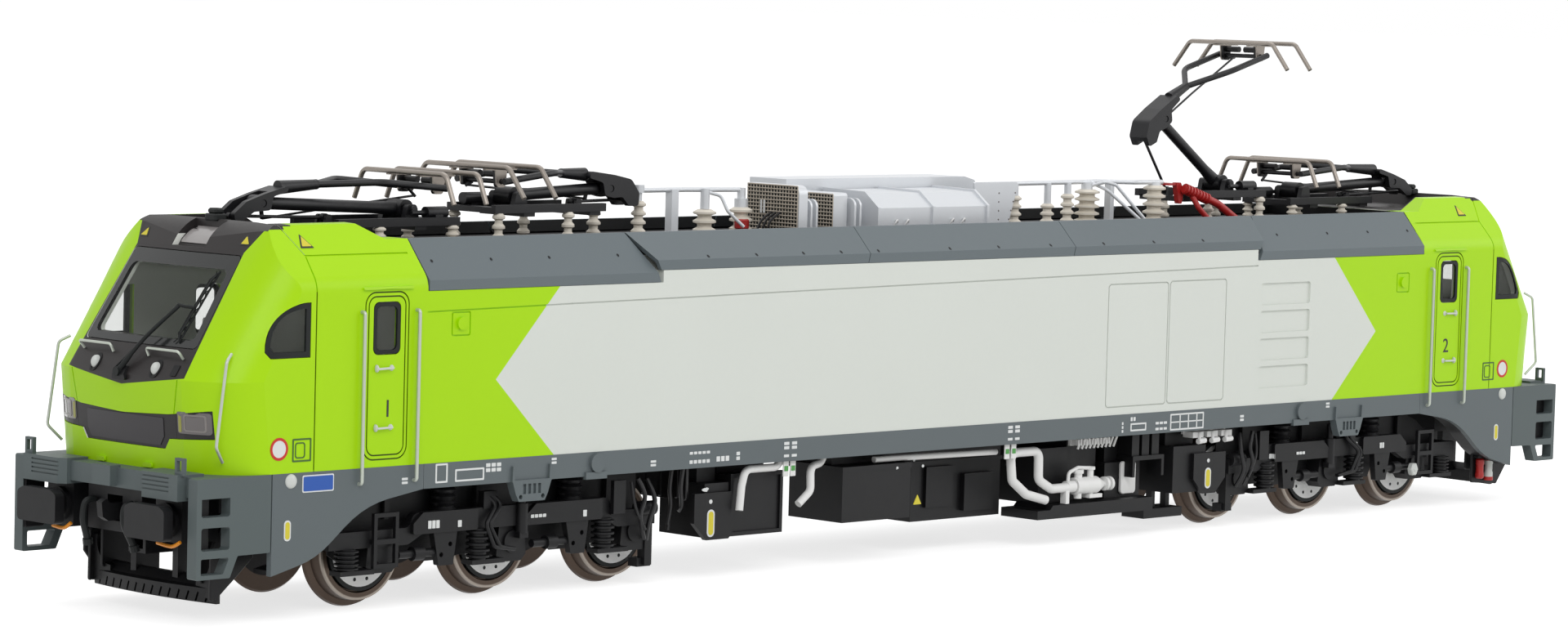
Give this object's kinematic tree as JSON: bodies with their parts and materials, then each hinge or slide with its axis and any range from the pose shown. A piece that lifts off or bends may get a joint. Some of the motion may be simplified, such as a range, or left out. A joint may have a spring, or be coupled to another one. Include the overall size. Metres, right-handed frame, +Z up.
{
  "type": "scale model electric locomotive",
  "caption": "Scale model of a double-cab electric locomotive on two three-axle bogies, with turning wheelsets, swivelling bogies and folding roof pantographs.",
  "frame": {"origin": "centre of the wheel flanges' footprint, on the floor", "axes": "+X along the model towards cab 2, +Y to its left side, +Z up"},
  "size_m": [0.2646, 0.0356, 0.0683],
  "materials": {
    "black_plastic": "matt black moulded plastic",
    "body_paint": "lime green and off-white satin paint",
    "cream_plastic": "pale cream plastic",
    "die_cast": "plain die-cast block",
    "glazing": "clear smoked glazing",
    "grey_paint": "satin grey paint",
    "interior_plastic": "dark grey plastic",
    "panto_metal": "black painted metal",
    "rail_wire": "light grey painted wire",
    "silver_paint": "silver paint",
    "strip_metal": "bright metal strips",
    "underframe_black": "matt black paint",
    "wheel_steel": "turned steel with white disc faces",
    "white_plastic": "white plastic"
  },
  "bodies": {
    "loco_body": {"ballast_block": "die_cast", "body_shell": "body_paint", "buffers_1": "black_plastic", "buffers_2": "black_plastic", "cab_interior_1": "interior_plastic", "cab_interior_2": "interior_plastic", "cab_windows_1": "glazing", "cab_windows_2": "glazing", "cooling_housing": "silver_paint", "cornice": "grey_paint", "coupling_1": "black_plastic", "coupling_2": "black_plastic", "filter_box": "silver_paint", "front_apron_1": "grey_paint", "front_apron_2": "grey_paint", "handrails_1": "rail_wire", "handrails_2": "rail_wire", "lamp_bands_1": "black_plastic", "lamp_bands_2": "black_plastic", "pantograph_a_base": "panto_metal", "pantograph_b_base": "panto_metal", "pantograph_c_base": "panto_metal", "pantograph_d_base": "panto_metal", "roof_busbars": "silver_paint", "roof_cables": "black_plastic", "roof_deck": "black_plastic", "roof_insulators": "cream_plastic", "skirts": "grey_paint", "snow_plough_1": "black_plastic", "snow_plough_2": "black_plastic", "solebars": "grey_paint", "underfloor_equipment": "underframe_black", "underfloor_pipes": "white_plastic", "underframe": "underframe_black", "windscreen_1": "glazing", "windscreen_2": "glazing"},
    "wheels_1": {"wheelset_1": "wheel_steel"},
    "wheels_2": {"wheelset_2": "wheel_steel"},
    "wheels_3": {"wheelset_3": "wheel_steel"},
    "wheels_4": {"wheelset_4": "wheel_steel"},
    "wheels_5": {"wheelset_5": "wheel_steel"},
    "wheels_6": {"wheelset_6": "wheel_steel"},
    "bogie_1": {"bogie_frame_1": "black_plastic"},
    "bogie_2": {"bogie_frame_2": "black_plastic"},
    "lower_arm_a": {"pantograph_a_lower_arm": "panto_metal"},
    "upper_arm_a": {"pantograph_a_upper_arm": "panto_metal"},
    "head_a": {"pantograph_a_head": "strip_metal"},
    "rod_a": {"pantograph_a_rod": "panto_metal"},
    "lower_arm_b": {"pantograph_b_lower_arm": "panto_metal"},
    "upper_arm_b": {"pantograph_b_upper_arm": "panto_metal"},
    "head_b": {"pantograph_b_head": "strip_metal"},
    "rod_b": {"pantograph_b_rod": "panto_metal"},
    "lower_arm_c": {"pantograph_c_lower_arm": "panto_metal"},
    "upper_arm_c": {"pantograph_c_upper_arm": "panto_metal"},
    "head_c": {"pantograph_c_head": "strip_metal"},
    "rod_c": {"pantograph_c_rod": "panto_metal"},
    "lower_arm_d": {"pantograph_d_lower_arm": "panto_metal"},
    "upper_arm_d": {"pantograph_d_upper_arm": "panto_metal"},
    "head_d": {"pantograph_d_head": "strip_metal"},
    "rod_d": {"pantograph_d_rod": "panto_metal"}
  },
  "joints": [
    {"name": "bogie_1_yaw", "type": "hinge", "parent": "loco_body", "child": "bogie_1", "pos_m": [-0.0794, 0, 0.0109], "axis": [0, 0, 1], "range_deg": [-8, 8]},
    {"name": "bogie_2_yaw", "type": "hinge", "parent": "loco_body", "child": "bogie_2", "pos_m": [0.0794, 0, 0.0109], "axis": [0, 0, 1], "range_deg": [-8, 8]},
    {"name": "wheels_1_roll", "type": "hinge", "parent": "bogie_1", "child": "wheels_1", "pos_m": [-0.09995, 0, 0.00703], "axis": [0, 1, 0], "continuous": true},
    {"name": "wheels_2_roll", "type": "hinge", "parent": "bogie_1", "child": "wheels_2", "pos_m": [-0.0794, 0, 0.00703], "axis": [0, 1, 0], "continuous": true},
    {"name": "wheels_3_roll", "type": "hinge", "parent": "bogie_1", "child": "wheels_3", "pos_m": [-0.05885, 0, 0.00703], "axis": [0, 1, 0], "continuous": true},
    {"name": "wheels_4_roll", "type": "hinge", "parent": "bogie_2", "child": "wheels_4", "pos_m": [0.05885, 0, 0.00703], "axis": [0, 1, 0], "continuous": true},
    {"name": "wheels_5_roll", "type": "hinge", "parent": "bogie_2", "child": "wheels_5", "pos_m": [0.0794, 0, 0.00703], "axis": [0, 1, 0], "continuous": true},
    {"name": "wheels_6_roll", "type": "hinge", "parent": "bogie_2", "child": "wheels_6", "pos_m": [0.09995, 0, 0.00703], "axis": [0, 1, 0], "continuous": true},
    {"name": "pantograph_a_raise", "type": "hinge", "parent": "loco_body", "child": "lower_arm_a", "pos_m": [-0.0864, 0, 0.0466], "axis": [0, 1, 0], "range_deg": [0, 32.1]},
    {"name": "pantograph_a_knee", "type": "hinge", "parent": "lower_arm_a", "child": "upper_arm_a", "pos_m": [-0.10868, 0, 0.04761], "axis": [0, 1, 0], "range_deg": [-54.92, 0]},
    {"name": "pantograph_a_head_level", "type": "hinge", "parent": "upper_arm_a", "child": "head_a", "pos_m": [-0.08302, 0, 0.04914], "axis": [0, 1, 0], "range_deg": [0, 22.81]},
    {"name": "pantograph_a_rod", "type": "hinge", "parent": "loco_body", "child": "rod_a", "pos_m": [-0.09813, 0, 0.0457], "axis": [0, 1, 0], "range_deg": [0, 46.71]},
    {"name": "pantograph_b_raise", "type": "hinge", "parent": "loco_body", "child": "lower_arm_b", "pos_m": [-0.06867, 0, 0.0479], "axis": [0, -1, 0], "range_deg": [0, 32.1]},
    {"name": "pantograph_b_knee", "type": "hinge", "parent": "lower_arm_b", "child": "upper_arm_b", "pos_m": [-0.05249, 0, 0.04863], "axis": [0, -1, 0], "range_deg": [-54.92, 0]},
    {"name": "pantograph_b_head_level", "type": "hinge", "parent": "upper_arm_b", "child": "head_b", "pos_m": [-0.07285, 0, 0.04984], "axis": [0, -1, 0], "range_deg": [0, 22.81]},
    {"name": "pantograph_b_rod", "type": "hinge", "parent": "loco_body", "child": "rod_b", "pos_m": [-0.0576, 0, 0.047], "axis": [0, -1, 0], "range_deg": [0, 53.55]},
    {"name": "pantograph_c_raise", "type": "hinge", "parent": "loco_body", "child": "lower_arm_c", "pos_m": [0.06867, 0, 0.0479], "axis": [0, 1, 0], "range_deg": [-32.1, 0]},
    {"name": "pantograph_c_knee", "type": "hinge", "parent": "lower_arm_c", "child": "upper_arm_c", "pos_m": [0.05535, 0, 0.05712], "axis": [0, 1, 0], "range_deg": [0, 54.92]},
    {"name": "pantograph_c_head_level", "type": "hinge", "parent": "upper_arm_c", "child": "head_c", "pos_m": [0.07366, 0, 0.06613], "axis": [0, 1, 0], "range_deg": [-22.81, 0]},
    {"name": "pantograph_c_rod", "type": "hinge", "parent": "loco_body", "child": "rod_c", "pos_m": [0.0576, 0, 0.047], "axis": [0, 1, 0], "range_deg": [-53.55, 0]},
    {"name": "pantograph_d_raise", "type": "hinge", "parent": "loco_body", "child": "lower_arm_d", "pos_m": [0.0864, 0, 0.0466], "axis": [0, -1, 0], "range_deg": [0, 32.1]},
    {"name": "pantograph_d_knee", "type": "hinge", "parent": "lower_arm_d", "child": "upper_arm_d", "pos_m": [0.10868, 0, 0.04761], "axis": [0, -1, 0], "range_deg": [-54.92, 0]},
    {"name": "pantograph_d_head_level", "type": "hinge", "parent": "upper_arm_d", "child": "head_d", "pos_m": [0.08302, 0, 0.04914], "axis": [0, -1, 0], "range_deg": [0, 22.81]},
    {"name": "pantograph_d_rod", "type": "hinge", "parent": "loco_body", "child": "rod_d", "pos_m": [0.09813, 0, 0.0457], "axis": [0, -1, 0], "range_deg": [0, 46.71]}
  ],
  "couplings": [
    {"joint": "pantograph_a_knee", "follows": "pantograph_a_raise", "ratio": -1.7103},
    {"joint": "pantograph_a_head_level", "follows": "pantograph_a_raise", "ratio": 0.71028},
    {"joint": "pantograph_a_rod", "follows": "pantograph_a_raise", "ratio": 1.4546},
    {"joint": "pantograph_b_knee", "follows": "pantograph_b_raise", "ratio": -1.7103},
    {"joint": "pantograph_b_head_level", "follows": "pantograph_b_raise", "ratio": 0.71028},
    {"joint": "pantograph_b_rod", "follows": "pantograph_b_raise", "ratio": 1.6678},
    {"joint": "pantograph_c_knee", "follows": "pantograph_c_raise", "ratio": -1.7103},
    {"joint": "pantograph_c_head_level", "follows": "pantograph_c_raise", "ratio": 0.71028},
    {"joint": "pantograph_c_rod", "follows": "pantograph_c_raise", "ratio": 1.6678},
    {"joint": "pantograph_d_knee", "follows": "pantograph_d_raise", "ratio": -1.7103},
    {"joint": "pantograph_d_head_level", "follows": "pantograph_d_raise", "ratio": 0.71028},
    {"joint": "pantograph_d_rod", "follows": "pantograph_d_raise", "ratio": 1.4546}
  ]
}
